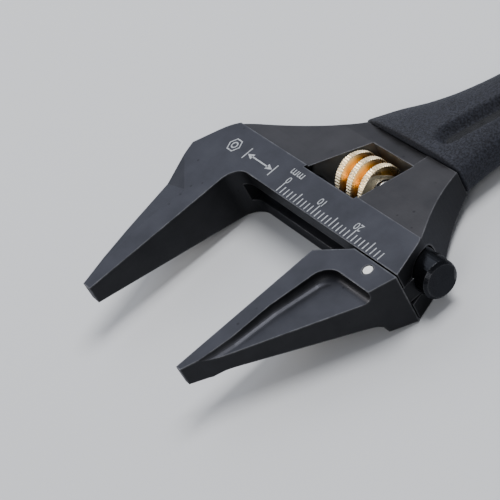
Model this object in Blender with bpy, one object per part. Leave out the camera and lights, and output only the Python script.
"""Slim-jaw adjustable wrench: forged body, sliding jaw with a toothed rod, knurled worm on a pin,
play-absorbing spring, soft grip sleeve and a painted index dot.

All sizes below are in millimetres; MM turns them into metres when a mesh or a place is made.
The drawing frame has x along the scale from its zero mark, y from the front edge of the scale
band towards the handle, and z up from the wrench's middle plane.  One empty, wrench_frame, puts
the origin on the flat underside of the head, under the zero mark and midway across the band.
"""
import bpy
import bmesh
import math
from mathutils import Vector

MM = 0.001

# ---- driving dimensions -------------------------------------------------------------------
OPENING = 28.6              # gap between the jaws with the slide fully open
CLOSED_GAP = 0.1            # the jaws stop a hair apart when closed
FIXED_FACE_X = -11.8        # gripping face of the fixed jaw
DOT_X = 28.3                # where the index dot stands on the scale, fully open
JAW_REACH = 32.0            # from the front of the scale band to the jaw tips
JAW_TIP_THICKNESS = 3.5
HEAD_THICKNESS = 10.0
BAND_WIDTH = 7.0            # flat band that carries the scale
BAND_STEP = 0.35            # the band stands this much above the forged shoulder
BAND_LEFT = 13.2            # band beyond the fixed face, on the outer side
BAND_RIGHT = 16.5           # band beyond the movable jaw's gripping face
THROAT_RADIUS = 3.4
SHOULDER_SLOPE = 9.0        # degrees that the head falls away from the band
NECK_Y = 20.4               # where the bare head ends and the grip starts
NECK_LEFT_X = -1.7
NECK_RIGHT_X = 22.3
EDGE_BREAK = 0.22           # small chamfer along the milled edges
BRIDGE_DROP = 0.3           # how far the neck behind the worm window falls below the shoulder
FIXED_TIP_WIDTH = 2.2
POCKET_TIP_DEPTH = 0.7      # scooped pocket of the movable jaw, at its tip
POCKET_DEPTH = 2.0          # and at its deep end
POCKET_RISE = 26.0          # from the jaw tip to where the pocket is at full depth
POCKET_FILLET = 1.6

ROD_RADIUS = 3.2            # sliding rod of the movable jaw
ROD_FRONT_WALL = 1.9        # from the band's front edge to the rod
ROD_END_OVERHANG = 2.1      # rod past the head's right end, fully open
RACK_LENGTH = 29.3          # rod from end to end
WEB_THICKNESS = 3.3         # web between the jaw and its rod
ROD_END_CHAMFER = 0.5
ROD_SIDES = 40
RUN_GAP = 0.25              # clearance round whatever slides or turns

THUMB_ROOM = 0.7            # window behind the worm
SPRING_ROOM = 1.9           # window right of the worm, at its front edge
WINDOW_FLARE = 1.2          # and this much more at its back edge
WINDOW_LEAN = 0.40          # sideways run of the window's left wall for each unit of y
WINDOW_OVERLAP = 0.6        # window into the scale band
WORM_RADIUS = 4.6
WORM_LENGTH = 7.8
WORM_LEFT = 4.2             # left end of the worm
WORM_PITCH = 3.17
WORM_THREAD_DEPTH = 1.5
WORM_CREST = 1.3            # width of the knurled crest
TOOTH_ENGAGEMENT = 0.9      # how far the worm reaches into the rack
FLANK_TAPER = 0.27          # sideways run of a flank for each unit of depth
PIN_RADIUS = 1.45
PIN_LEFT_X = -12.0          # the pin's slotted head, inside the outer wall
PIN_BITE = 3.0              # pin held in the wall right of the window
SPRING_WIRE = 0.25          # radius of the spring's wire
SPRING_TURNS = 3.5
SPRING_SEAT_DEPTH = 2.2     # counterbore in the worm's right end

HANDLE_ANGLE = 20.0         # degrees between the handle and the jaws' direction
HANDLE_AXIS_X = 14.6        # where the handle's axis crosses HANDLE_AXIS_Y
HANDLE_AXIS_Y = 30.0
HANDLE_LENGTH = 92.0        # from that point to the handle's end
GRIP_HALF_WIDTH = 7.2
GRIP_END_HALF_WIDTH = 8.4
GRIP_HALF_THICKNESS = 3.9
GRIP_WALL = 1.7             # soft sleeve round the steel core
GRIP_GROOVE_DEPTH = 1.5
GRIP_GROOVE_HALF_WIDTH = 2.1
GRIP_GROOVE_SHIFT = 2.7     # groove's offset from the handle's axis where it starts
GRIP_GROOVE_START = -4.3    # its front end, along the handle
GRIP_GROOVE_SHARE = 0.72    # its back end, as a share of the handle's length
SEAT_GAP = 0.3              # clearance between pieces that are fixed together
HANG_HOLE_RADIUS = 3.3
DOT_RADIUS = 0.8
DOT_SETBACK = 1.9           # from the band's front edge to the dot
DIMPLE_DEPTH = 0.4

FAR = 60.0                  # beyond anything in the drawing

# ---- places that follow from them -----------------------------------------------------------
HALF_T = HEAD_THICKNESS / 2
MOVING_FACE_X = FIXED_FACE_X + OPENING
BAND_LEFT_X = FIXED_FACE_X - BAND_LEFT
BAND_RIGHT_X = MOVING_FACE_X + BAND_RIGHT
JAW_TAPER = (HEAD_THICKNESS - JAW_TIP_THICKNESS) / JAW_REACH
SLOPE = math.tan(math.radians(SHOULDER_SLOPE))
ROD_Y = ROD_FRONT_WALL + ROD_RADIUS
ROD_RIGHT_X = BAND_RIGHT_X + ROD_END_OVERHANG
ROD_LEFT_X = ROD_RIGHT_X - RACK_LENGTH
WORM_Y = ROD_Y + ROD_RADIUS - TOOTH_ENGAGEMENT + WORM_RADIUS
WORM_RIGHT = WORM_LEFT + WORM_LENGTH
WINDOW_FRONT_Y = BAND_WIDTH - WINDOW_OVERLAP
WINDOW_BACK_Y = WORM_Y + WORM_RADIUS + THUMB_ROOM
WINDOW_LEFT_BACK = WORM_LEFT - SEAT_GAP + THUMB_ROOM * WINDOW_LEAN
WINDOW_LEFT_FRONT = WINDOW_LEFT_BACK - WINDOW_LEAN * (WINDOW_BACK_Y - WINDOW_FRONT_Y)
WINDOW_RIGHT_FRONT = WORM_RIGHT + SPRING_ROOM
WINDOW_RIGHT_BACK = WINDOW_RIGHT_FRONT + WINDOW_FLARE
TRAVEL = OPENING - CLOSED_GAP
ACROSS = Vector((math.cos(math.radians(HANDLE_ANGLE)), -math.sin(math.radians(HANDLE_ANGLE))))
ALONG = Vector((math.sin(math.radians(HANDLE_ANGLE)), math.cos(math.radians(HANDLE_ANGLE))))


# ---- helpers --------------------------------------------------------------------------------
def clear_scene():
    """Start from an empty scene."""
    for old in list(bpy.data.objects):
        bpy.data.objects.remove(old, do_unlink=True)


def material(name, colour, roughness, metallic):
    """A plain Principled material."""
    made = bpy.data.materials.new(name)
    made.use_nodes = True
    shader = made.node_tree.nodes["Principled BSDF"]
    shader.inputs["Base Color"].default_value = (*colour, 1)
    shader.inputs["Roughness"].default_value = roughness
    shader.inputs["Metallic"].default_value = metallic
    return made


def empty(name, place, parent=None):
    """An empty that carries a frame or a joint axis; place is in millimetres."""
    made = bpy.data.objects.new(name, None)
    made.empty_display_size = 0.01
    made.parent = parent
    made.location = Vector(place) * MM
    bpy.context.scene.collection.objects.link(made)
    return made


def add(name, mesh_builder, parent, finish=None, origin=(0, 0, 0)):
    """Put a bmesh, drawn in the drawing frame, into the scene under its parent's origin."""
    offset = Vector(origin)
    for vert in mesh_builder.verts:
        vert.co = (vert.co - offset) * MM
    bmesh.ops.recalc_face_normals(mesh_builder, faces=mesh_builder.faces)
    mesh = bpy.data.meshes.new(name)
    mesh_builder.to_mesh(mesh)
    mesh_builder.free()
    made = bpy.data.objects.new(name, mesh)
    made.parent = parent
    bpy.context.scene.collection.objects.link(made)
    if finish:
        mesh.materials.append(finish)
    return made


def cutter(name, mesh_builder, parent, origin=(0, 0, 0)):
    """A helper solid for a Boolean, left out of the build."""
    made = add(name, mesh_builder, parent, origin=origin)
    made.hide_render = True
    made.display_type = 'WIRE'
    return made


def combine(target, other, operation):
    """Add an exact Boolean modifier."""
    modifier = target.modifiers.new(operation.lower() + "_" + other.name, 'BOOLEAN')
    modifier.operation = operation
    modifier.solver = 'EXACT'
    modifier.object = other


def soften(target, width, segments=1, degrees=30):
    """Chamfer or round the edges that are sharper than an angle."""
    modifier = target.modifiers.new("edge_break", 'BEVEL')
    modifier.width = width * MM
    modifier.segments = segments
    modifier.limit_method = 'ANGLE'
    modifier.angle_limit = math.radians(degrees)


def shade(target, degrees=30):
    """Smooth shading with sharp creases."""
    target.data.shade_smooth()
    target.data.set_sharp_from_angle(angle=math.radians(degrees))


def loft(rings, closed=False):
    """Skin rings of equal point counts; an open run gets flat end caps."""
    made = bmesh.new()
    rows = [[made.verts.new(point) for point in ring] for ring in rings]
    pairs = list(zip(rows, rows[1:]))
    if closed:
        pairs.append((rows[-1], rows[0]))
    count = len(rows[0])
    for first, second in pairs:
        for i in range(count):
            j = (i + 1) % count
            made.faces.new((first[i], first[j], second[j], second[i]))
    if not closed:
        made.faces.new(rows[0])
        made.faces.new(rows[-1])
    return made


def prism(outline, low, high):
    """Raise an outline between two heights; a height is a number or a function of x and y."""
    def level(height, x, y):
        return height(x, y) if callable(height) else height
    return loft([[(x, y, level(z, x, y)) for x, y in outline] for z in (low, high)])


def box(x_span, y_span, low, high):
    """A block between two corners, with level or sloping ends."""
    (x0, x1), (y0, y1) = x_span, y_span
    return prism([(x0, y0), (x1, y0), (x1, y1), (x0, y1)], low, high)


def arc(centre, radius, start, end, steps):
    """Points on an arc, in degrees, both ends included."""
    turns = [math.radians(start + (end - start) * i / steps) for i in range(steps + 1)]
    return [(centre[0] + radius * math.cos(a), centre[1] + radius * math.sin(a)) for a in turns]


def curve(p0, p1, p2, p3, steps):
    """Points on a cubic Bezier curve, without its first point."""
    points = []
    for i in range(1, steps + 1):
        t = i / steps
        s = 1 - t
        weights = (s ** 3, 3 * s * s * t, 3 * s * t * t, t ** 3)
        points.append(tuple(sum(w * p[k] for w, p in zip(weights, (p0, p1, p2, p3))) for k in (0, 1)))
    return points


def rod(x0, x1, y, radius, sides, end_break=0.0):
    """A round bar along x, with optional chamfered ends."""
    def ring(x, r):
        turns = [2 * math.pi * (i + 0.5) / sides for i in range(sides)]
        return [(x, y + r * math.cos(a), r * math.sin(a)) for a in turns]
    if not end_break:
        return loft([ring(x0, radius), ring(x1, radius)])
    return loft([ring(x0, radius - end_break), ring(x0 + end_break, radius),
                 ring(x1 - end_break, radius), ring(x1, radius - end_break)])


def upright(x, y, radius, low, high, sides):
    """A round bar along z."""
    circle = [(x + radius * math.cos(2 * math.pi * i / sides),
               y + radius * math.sin(2 * math.pi * i / sides)) for i in range(sides)]
    return prism(circle, low, high)


def on_handle(across, along):
    """A place on the handle, from its axis and its reference point."""
    spot = Vector((HANDLE_AXIS_X, HANDLE_AXIS_Y)) + ACROSS * across + ALONG * along
    return (spot.x, spot.y)


def underside(x, y):
    """Height of the jaws' tapered underside."""
    return -HALF_T + JAW_TAPER * max(-y, 0)


# ---- handle outline ---------------------------------------------------------------------------
def handle_half_widths():
    """Left and right half widths of the grip at stations along the handle."""
    wide, end = GRIP_HALF_WIDTH, GRIP_END_HALF_WIDTH
    return [(-22.0, wide + 8.8, wide + 11.0), (-13.5, wide + 5.8, wide + 6.8),
            (-9.0, wide + 4.3, wide + 4.8), (-4.5, wide + 2.2, wide + 2.8), (0.0, wide + 0.8, wide + 1.4),
            (6.0, wide, wide + 0.4), (14.0, wide, wide), (HANDLE_LENGTH * 0.55, wide + 0.3, wide + 0.3),
            (HANDLE_LENGTH - 2.2 * end, end - 0.2, end - 0.2), (HANDLE_LENGTH - end, end, end)]


def handle_outline(inset):
    """The handle seen from above, shrunk by an inset, with a round end."""
    stations = handle_half_widths()
    left = [on_handle(inset - a, v) for v, a, b in stations]
    right = [on_handle(b - inset, v) for v, a, b in stations]
    end = GRIP_END_HALF_WIDTH - inset
    centre = HANDLE_LENGTH - GRIP_END_HALF_WIDTH
    cap = [on_handle(across, centre + lift) for across, lift in arc((0, 0), end, 0, 180, 12)[1:-1]]
    return left + cap[::-1] + right[::-1]


# ---- pieces -------------------------------------------------------------------------------------
def head_outline():
    """The forged head and fixed jaw seen from above."""
    tip_y = -JAW_REACH
    left_wall = (BAND_LEFT_X + 2.2, 3.8)
    left_round = (BAND_LEFT_X + 7.2, 8.7)
    right_corner = (BAND_RIGHT_X - 3.0, BAND_WIDTH + 0.3)
    neck_left = (NECK_LEFT_X, NECK_Y)
    neck_right = (NECK_RIGHT_X, NECK_Y)
    points = [(FIXED_FACE_X, tip_y)]
    points += arc((FIXED_FACE_X + THROAT_RADIUS, -THROAT_RADIUS), THROAT_RADIUS, 180, 90, 14)
    points += [(BAND_RIGHT_X, 0), (BAND_RIGHT_X - 1.0, 2.9), (BAND_RIGHT_X - 1.9, 5.4)]
    points += curve(points[-1], (BAND_RIGHT_X - 2.3, 6.4), (BAND_RIGHT_X - 2.5, 6.8), right_corner, 5)
    points += curve(right_corner, (right_corner[0] - 3.4, right_corner[1] + 4.2),
                    (neck_right[0] + 1.9, neck_right[1] - 5.5), neck_right, 14)
    points.append(neck_left)
    points += curve(neck_left, (-4.0, NECK_Y - 3.6), (-10.5, 12.6), left_round, 14)
    points += curve(left_round, (left_round[0] - 2.4, left_round[1] - 1.4),
                    (left_wall[0] + 1.3, left_wall[1] + 2.6), left_wall, 8)
    points += [(BAND_LEFT_X, -0.9), (FIXED_FACE_X - 4.0, 5.0 - JAW_REACH)]
    points.append((FIXED_FACE_X - FIXED_TIP_WIDTH, tip_y))
    return points


def outer_bevel():
    """Wedge that slopes the fixed jaw away from its flat land, on the outer side."""
    land = [(FIXED_FACE_X - 1.2, -JAW_REACH - 0.6, 0.1), (FIXED_FACE_X - 3.2, 5.5 - JAW_REACH, 0.5),
            (FIXED_FACE_X - 4.3, 12 - JAW_REACH, 1.1), (FIXED_FACE_X - 4.3, -8.7, 1.9),
            (BAND_LEFT_X - 0.8, -0.5, 0.2)]
    outer = [(land[0][0] - 2.5, land[0][1]), (-19.0, 5.0 - JAW_REACH), (-21.5, -20.5),
             (-24.8, -9.5), (BAND_LEFT_X - 3.0, -1.0)]
    lip = HALF_T + 1.0
    rings = []
    for (x, y, drop), (far_x, far_y) in zip(land, outer):
        rings.append([(x, y, HALF_T), (far_x, far_y, HALF_T - drop), (far_x, far_y, lip), (x, y, lip)])
    return loft(rings)


def make_body(frame, steel):
    """Head, fixed jaw and the steel core inside the handle: one forging."""
    body = add("body", prism(head_outline(), -HALF_T, HALF_T), frame, steel)

    def fall(x, y):
        return HALF_T - BAND_STEP - SLOPE * (y - BAND_WIDTH)

    def bridge(x, y):
        return fall(x, y) - BRIDGE_DROP * (y - WINDOW_BACK_Y) / (NECK_Y - WINDOW_BACK_Y)
    cuts = [
        ("cut_shoulder_top", box((-FAR, FAR), (BAND_WIDTH, FAR), fall, HALF_T + 3)),
        ("cut_shoulder_bottom", box((-FAR, FAR), (BAND_WIDTH, FAR), -HALF_T - 3,
                                    lambda x, y: -fall(x, y))),
        ("cut_jaw_taper", box((-FAR, FIXED_FACE_X + 12), (-JAW_REACH - 5, 0), -HALF_T - 3, underside)),
        ("cut_outer_bevel", outer_bevel()),
        ("cut_window", prism([(WINDOW_LEFT_FRONT, WINDOW_FRONT_Y), (WINDOW_RIGHT_FRONT, WINDOW_FRONT_Y),
                              (WINDOW_RIGHT_BACK, WINDOW_BACK_Y), (WINDOW_LEFT_BACK, WINDOW_BACK_Y)],
                             -HALF_T - 1, HALF_T + 1)),
    ]
    for name, shape in cuts:
        combine(body, cutter(name, shape, frame), 'DIFFERENCE')
    soften(body, EDGE_BREAK, 1, 28)

    core = prism(core_outline(0), -core_half_thickness(), core_half_thickness())
    combine(body, cutter("join_core", core, frame), 'UNION')
    bridge_x = (-FAR, WINDOW_RIGHT_BACK - EDGE_BREAK)
    bridge_y = (WINDOW_BACK_Y - 1, NECK_Y + 0.5)
    slot_half = WEB_THICKNESS / 2 + RUN_GAP
    web_left = web_span()[0] - TRAVEL - 0.5
    holes = [
        ("cut_bridge_top", box(bridge_x, bridge_y, bridge, HALF_T + 3)),
        ("cut_bridge_bottom", box(bridge_x, bridge_y, -HALF_T - 3, lambda x, y: -bridge(x, y))),
        ("cut_rod_bore", rod(BAND_LEFT_X - 3, BAND_RIGHT_X + 3, ROD_Y, ROD_RADIUS + RUN_GAP, ROD_SIDES)),
        ("cut_web_slot", box((web_left, BAND_RIGHT_X + 3), (-THROAT_RADIUS - 1, ROD_Y), -slot_half, slot_half)),
        ("cut_pin_bore", rod(-FAR, pin_span()[1] + 0.5, WORM_Y, PIN_RADIUS + RUN_GAP, 24)),
        ("cut_hang_hole", upright(*on_handle(0, HANDLE_LENGTH - GRIP_END_HALF_WIDTH),
                                  HANG_HOLE_RADIUS + 1.2, -HALF_T, HALF_T, 24)),
    ]
    for name, shape in holes:
        combine(body, cutter(name, shape, frame), 'DIFFERENCE')
    shade(body)
    return body


def core_half_thickness():
    """Half thickness of the steel inside the grip, under the groove's floor."""
    return GRIP_HALF_THICKNESS - GRIP_GROOVE_DEPTH - 0.6 - SEAT_GAP


def core_outline(grow):
    """The handle's steel core seen from above, grown by a clearance."""
    start = (WINDOW_BACK_Y + NECK_Y) / 2
    inset = GRIP_WALL + SEAT_GAP - grow
    points = [(x, y) for x, y in handle_outline(inset) if y > NECK_Y + 1]
    return [(NECK_LEFT_X + inset, start)] + points + [(NECK_RIGHT_X - inset, start)]


def web_span():
    """The web's two ends along x, with the slide fully open."""
    return (MOVING_FACE_X + 1.4, BAND_RIGHT_X - 0.6)


def pin_span():
    """The worm pin's two ends along x."""
    return (PIN_LEFT_X, WINDOW_RIGHT_BACK + PIN_BITE)


def jaw_outline():
    """The movable jaw seen from above, with the slide fully open."""
    face = MOVING_FACE_X
    top = -SEAT_GAP
    return [(face, -JAW_REACH), (face + 1.1, -JAW_REACH), (face + 2.2, 2.8 - JAW_REACH),
            (BAND_RIGHT_X - 1.4, -5.3), (BAND_RIGHT_X + 0.3, top), (face + 6.1, top), (face, -4.4)]


def pocket_outline():
    """Open pocket behind the gripping strip of the movable jaw."""
    face = MOVING_FACE_X
    inner = arc((face + 7.9, -8.4), 3.6, 180, 90, 10)
    return ([(face + 1.9, 1.5 - JAW_REACH), (face + 3.1, 8.7 - JAW_REACH), (face + 3.3, -15.4)] + inner
            + [(BAND_RIGHT_X + 6, -4.8), (BAND_RIGHT_X + 6, -12.0), (face + 6, -JAW_REACH - 1)])


def rack_gaps():
    """The spaces between the rack's teeth, slanted to suit the worm's thread."""
    made = bmesh.new()
    floor = ROD_Y + ROD_RADIUS - TOOTH_ENGAGEMENT - 0.35
    roof = ROD_Y + ROD_RADIUS + 1.0
    floor_half = WORM_CREST / 2 + RUN_GAP - 0.05
    roof_half = floor_half + FLANK_TAPER * (roof - floor)
    reach = ROD_RADIUS + 0.5
    lead = WORM_PITCH / (2 * math.pi * (WORM_RADIUS - TOOTH_ENGAGEMENT / 2))
    first = crest_facing_rack()
    step_low = math.floor((ROD_LEFT_X - 1 - first) / WORM_PITCH)
    step_high = math.ceil((ROD_RIGHT_X + 1 - first) / WORM_PITCH)
    for step in range(step_low, step_high):
        centre = first + step * WORM_PITCH
        rings = []
        for z in (-reach, reach):
            x = centre - lead * z
            rings.append([(x - floor_half, floor, z), (x + floor_half, floor, z),
                          (x + roof_half, roof, z), (x - roof_half, roof, z)])
        piece = loft(rings)
        mesh = bpy.data.meshes.new("gap")
        piece.to_mesh(mesh)
        piece.free()
        made.from_mesh(mesh)
        bpy.data.meshes.remove(mesh)
    return made


def crest_facing_rack():
    """Where the middle of the worm's thread crest faces the rack, at rest."""
    return WORM_LEFT + WORM_CREST / 2 + 0.25 * WORM_PITCH


def make_jaw(frame, steel):
    """Movable jaw with its web and toothed rod, sliding along x."""
    slide = empty("jaw_slide_axis", (MOVING_FACE_X, ROD_Y, 0), frame)
    origin = (MOVING_FACE_X, ROD_Y, 0)
    jaw = add("movable_jaw", prism(jaw_outline(), -HALF_T, HALF_T), slide, steel, origin)
    taper = box((-FAR, FAR), (-JAW_REACH - 5, 0), -HALF_T - 3, underside)
    combine(jaw, cutter("cut_moving_taper", taper, slide, origin), 'DIFFERENCE')

    def pocket_floor(x, y):
        return HALF_T - pocket_depth(y)
    top_pocket = cutter("cut_pocket_top", prism(pocket_outline(), pocket_floor, HALF_T + 2), slide, origin)
    low_pocket = cutter("cut_pocket_bottom", prism(pocket_outline(), -HALF_T - 3, pocket_underside),
                        slide, origin)
    for pocket in (top_pocket, low_pocket):
        soften(pocket, POCKET_FILLET, 8, 50)
        combine(jaw, pocket, 'DIFFERENCE')
    soften(jaw, EDGE_BREAK, 1, 28)

    x0, x1 = web_span()
    web = box((x0, x1), (-2.5, ROD_Y), -WEB_THICKNESS / 2, WEB_THICKNESS / 2)
    combine(jaw, cutter("join_web", web, slide, origin), 'UNION')
    bar = rod(ROD_LEFT_X, ROD_RIGHT_X, ROD_Y, ROD_RADIUS, ROD_SIDES, ROD_END_CHAMFER)
    combine(jaw, cutter("join_rod", bar, slide, origin), 'UNION')
    combine(jaw, cutter("cut_rack", rack_gaps(), slide, origin), 'DIFFERENCE')
    dimple = upright(DOT_X, -DOT_SETBACK, DOT_RADIUS + 0.15, HALF_T - DIMPLE_DEPTH, HALF_T + 1, 20)
    combine(jaw, cutter("cut_dot_dimple", dimple, slide, origin), 'DIFFERENCE')
    shade(jaw)
    return slide, origin


def pocket_depth(y):
    """Depth of the movable jaw's pocket, which grows from the tip."""
    share = min(max((y + JAW_REACH) / POCKET_RISE, 0), 1)
    return POCKET_TIP_DEPTH + (POCKET_DEPTH - POCKET_TIP_DEPTH) * share


def pocket_underside(x, y):
    """Floor of the lower pocket, a little shallower, which follows the tapered underside."""
    return underside(x, y) + pocket_depth(y) - 0.2


def make_dot(slide, origin, paint):
    """White paint in the dimple that points at the scale."""
    drop = upright(DOT_X, -DOT_SETBACK, DOT_RADIUS, HALF_T - DIMPLE_DEPTH + 0.1, HALF_T - 0.02, 20)
    shade(add("index_dot", drop, slide, paint, origin))


def make_worm(frame, gilt):
    """Single-start worm with a knurled crest, turning about x."""
    place = (WORM_LEFT + WORM_LENGTH / 2, WORM_Y, 0)
    spin = empty("worm_spin_axis", place, frame)
    root = WORM_RADIUS - WORM_THREAD_DEPTH
    half_crest = WORM_CREST / 2
    half_root = half_crest + FLANK_TAPER * WORM_THREAD_DEPTH
    steps = 36
    profile = [(-half_root, root), (-half_crest, WORM_RADIUS), (half_crest, WORM_RADIUS), (half_root, root)]
    start = WORM_LEFT + half_crest - 2 * WORM_PITCH
    turns = int(WORM_LENGTH / WORM_PITCH) + 4
    columns = []
    for i in range(steps):
        angle = math.pi / 2 + 2 * math.pi * i / steps
        advance = WORM_PITCH * i / steps
        column = []
        for turn in range(turns):
            for shift, radius in profile:
                x = start + advance + turn * WORM_PITCH + shift
                column.append((x, WORM_Y + radius * math.cos(angle), radius * math.sin(angle)))
        columns.append(column)
    worm = add("worm", thread(columns, len(profile)), spin, gilt, place)
    blank = rod(WORM_LEFT, WORM_RIGHT, WORM_Y, WORM_RADIUS + 0.2, 36, 0.35)
    combine(worm, cutter("keep_worm_length", blank, spin, place), 'INTERSECT')
    bore = rod(WORM_LEFT - 1, WORM_RIGHT + 1, WORM_Y, PIN_RADIUS + RUN_GAP, 24)
    combine(worm, cutter("cut_worm_bore", bore, spin, place), 'DIFFERENCE')
    seat = rod(WORM_RIGHT - SPRING_SEAT_DEPTH, WORM_RIGHT + 1, WORM_Y, spring_outer() + RUN_GAP - 0.1, 24)
    combine(worm, cutter("cut_spring_seat", seat, spin, place), 'DIFFERENCE')
    shade(worm, 35)


def thread(columns, per_turn):
    """Skin the thread's columns round the axis; the last joins the first one turn further on."""
    made = bmesh.new()
    rows = [[made.verts.new(point) for point in column] for column in columns]
    for i, first in enumerate(rows):
        wrap = i == len(rows) - 1
        second = rows[0][per_turn:] if wrap else rows[i + 1]
        for k in range(len(second) - 1):
            made.faces.new((first[k], first[k + 1], second[k + 1], second[k]))
    made.faces.new([row[0] for row in rows] + rows[0][per_turn:0:-1])
    made.faces.new([row[-1] for row in rows] + rows[-1][-2:-per_turn - 2:-1])
    return made


def spring_outer():
    """Outer radius of the spring."""
    return PIN_RADIUS + 0.35 + 2 * SPRING_WIRE


def make_spring(frame, steel):
    """Small compression spring that takes the play out of the worm."""
    x0 = WORM_RIGHT - SPRING_SEAT_DEPTH + 0.2 + SPRING_WIRE
    x1 = WINDOW_RIGHT_FRONT + 0.25 - SEAT_GAP - SPRING_WIRE
    radius = spring_outer() - SPRING_WIRE
    steps = int(SPRING_TURNS * 20)
    rings = []
    for i in range(steps + 1):
        angle = 2 * math.pi * SPRING_TURNS * i / steps
        outward = Vector((0, math.cos(angle), math.sin(angle)))
        centre = Vector((x0 + (x1 - x0) * i / steps, WORM_Y, 0)) + outward * radius
        ring = []
        for k in range(6):
            turn = 2 * math.pi * k / 6
            ring.append(centre + outward * SPRING_WIRE * math.cos(turn)
                        + Vector((1, 0, 0)) * SPRING_WIRE * math.sin(turn))
        rings.append(ring)
    shade(add("worm_spring", loft(rings), frame, steel))


def make_pin(frame, steel):
    """Slotted pin that the worm turns on."""
    x0, x1 = pin_span()
    pin = add("worm_pin", rod(x0, x1, WORM_Y, PIN_RADIUS, 24, 0.2), frame, steel)
    slot = box((x0 - 1, x0 + 0.6), (WORM_Y - 3, WORM_Y + 3), -0.25, 0.25)
    combine(pin, cutter("cut_driver_slot", slot, frame), 'DIFFERENCE')
    shade(pin)


def make_grip(frame, soft):
    """Soft sleeve over the handle, with a long groove on both faces."""
    rings = []
    stations = handle_half_widths()
    end = GRIP_END_HALF_WIDTH
    centre = HANDLE_LENGTH - end
    for lift in (0.35, 0.6, 0.8, 0.92, 0.985):
        width = end * math.sqrt(1 - lift * lift)
        stations.append((centre + end * lift, width, width))
    for v, left, right in stations:
        thin = min(1.0, 0.45 + 0.9 * min(left, end) / end) if v > centre else 1.0
        rings.append(grip_section(v, left, right, GRIP_HALF_THICKNESS * thin))
    grip = add("grip_sleeve", loft(rings), frame, soft)
    front = box((-40, 40), (-10, NECK_Y + SEAT_GAP), -20, 20)
    combine(grip, cutter("cut_grip_front", front, frame), 'DIFFERENCE')
    half = GRIP_GROOVE_HALF_WIDTH
    back = HANDLE_LENGTH * GRIP_GROOVE_SHARE
    tail = [on_handle(a, back + b) for a, b in arc((0, 0), half * 0.8, 0, 180, 8)]
    nose = [on_handle(GRIP_GROOVE_SHIFT + a, GRIP_GROOVE_START + b)
            for a, b in arc((0, 0), half, 180, 360, 8)]
    floor = GRIP_HALF_THICKNESS - GRIP_GROOVE_DEPTH
    for name, low, high in (("cut_groove_top", floor, 9), ("cut_groove_bottom", -9, -floor)):
        groove = cutter(name, prism(tail + nose, low, high), frame)
        combine(grip, groove, 'DIFFERENCE')
    hole_at = on_handle(0, centre)
    cavity_half = core_half_thickness() + SEAT_GAP
    cavity = cutter("cut_grip_cavity", prism(core_outline(SEAT_GAP), -cavity_half, cavity_half), frame)
    column = cutter("keep_hole_column", upright(*hole_at, HANG_HOLE_RADIUS + 1.2 - SEAT_GAP, -9, 9, 24), frame)
    combine(cavity, column, 'DIFFERENCE')
    combine(grip, cavity, 'DIFFERENCE')
    combine(grip, cutter("cut_grip_hole", upright(*hole_at, HANG_HOLE_RADIUS, -9, 9, 24), frame), 'DIFFERENCE')
    shade(grip, 40)


def grip_section(v, left, right, half_thickness):
    """Rounded cross-section of the grip at a station."""
    points = []
    sides = 28
    for i in range(sides):
        angle = 2 * math.pi * (i + 0.5) / sides
        across, lift = math.cos(angle), math.sin(angle)
        square = 2 / 3.2
        a = math.copysign(abs(across) ** square, across)
        z = math.copysign(abs(lift) ** square, lift)
        x, y = on_handle(a * (right if a > 0 else left), v)
        points.append((x, y, z * half_thickness))
    return points


def build():
    """Make every piece."""
    clear_scene()
    black_steel = material("blackened_steel", (0.070, 0.074, 0.088), 0.42, 0.9)
    gilt = material("gilt_worm", (0.72, 0.47, 0.16), 0.3, 1.0)
    bright = material("bright_steel", (0.55, 0.55, 0.57), 0.3, 1.0)
    soft = material("soft_black_grip", (0.012, 0.014, 0.022), 0.85, 0.0)
    white = material("white_paint", (0.85, 0.86, 0.84), 0.5, 0.0)
    frame = empty("wrench_frame", (0, -BAND_WIDTH / 2, HALF_T))
    make_body(frame, black_steel)
    slide, origin = make_jaw(frame, black_steel)
    make_dot(slide, origin, white)
    make_worm(frame, gilt)
    make_pin(frame, bright)
    make_spring(frame, bright)
    make_grip(frame, soft)


build()
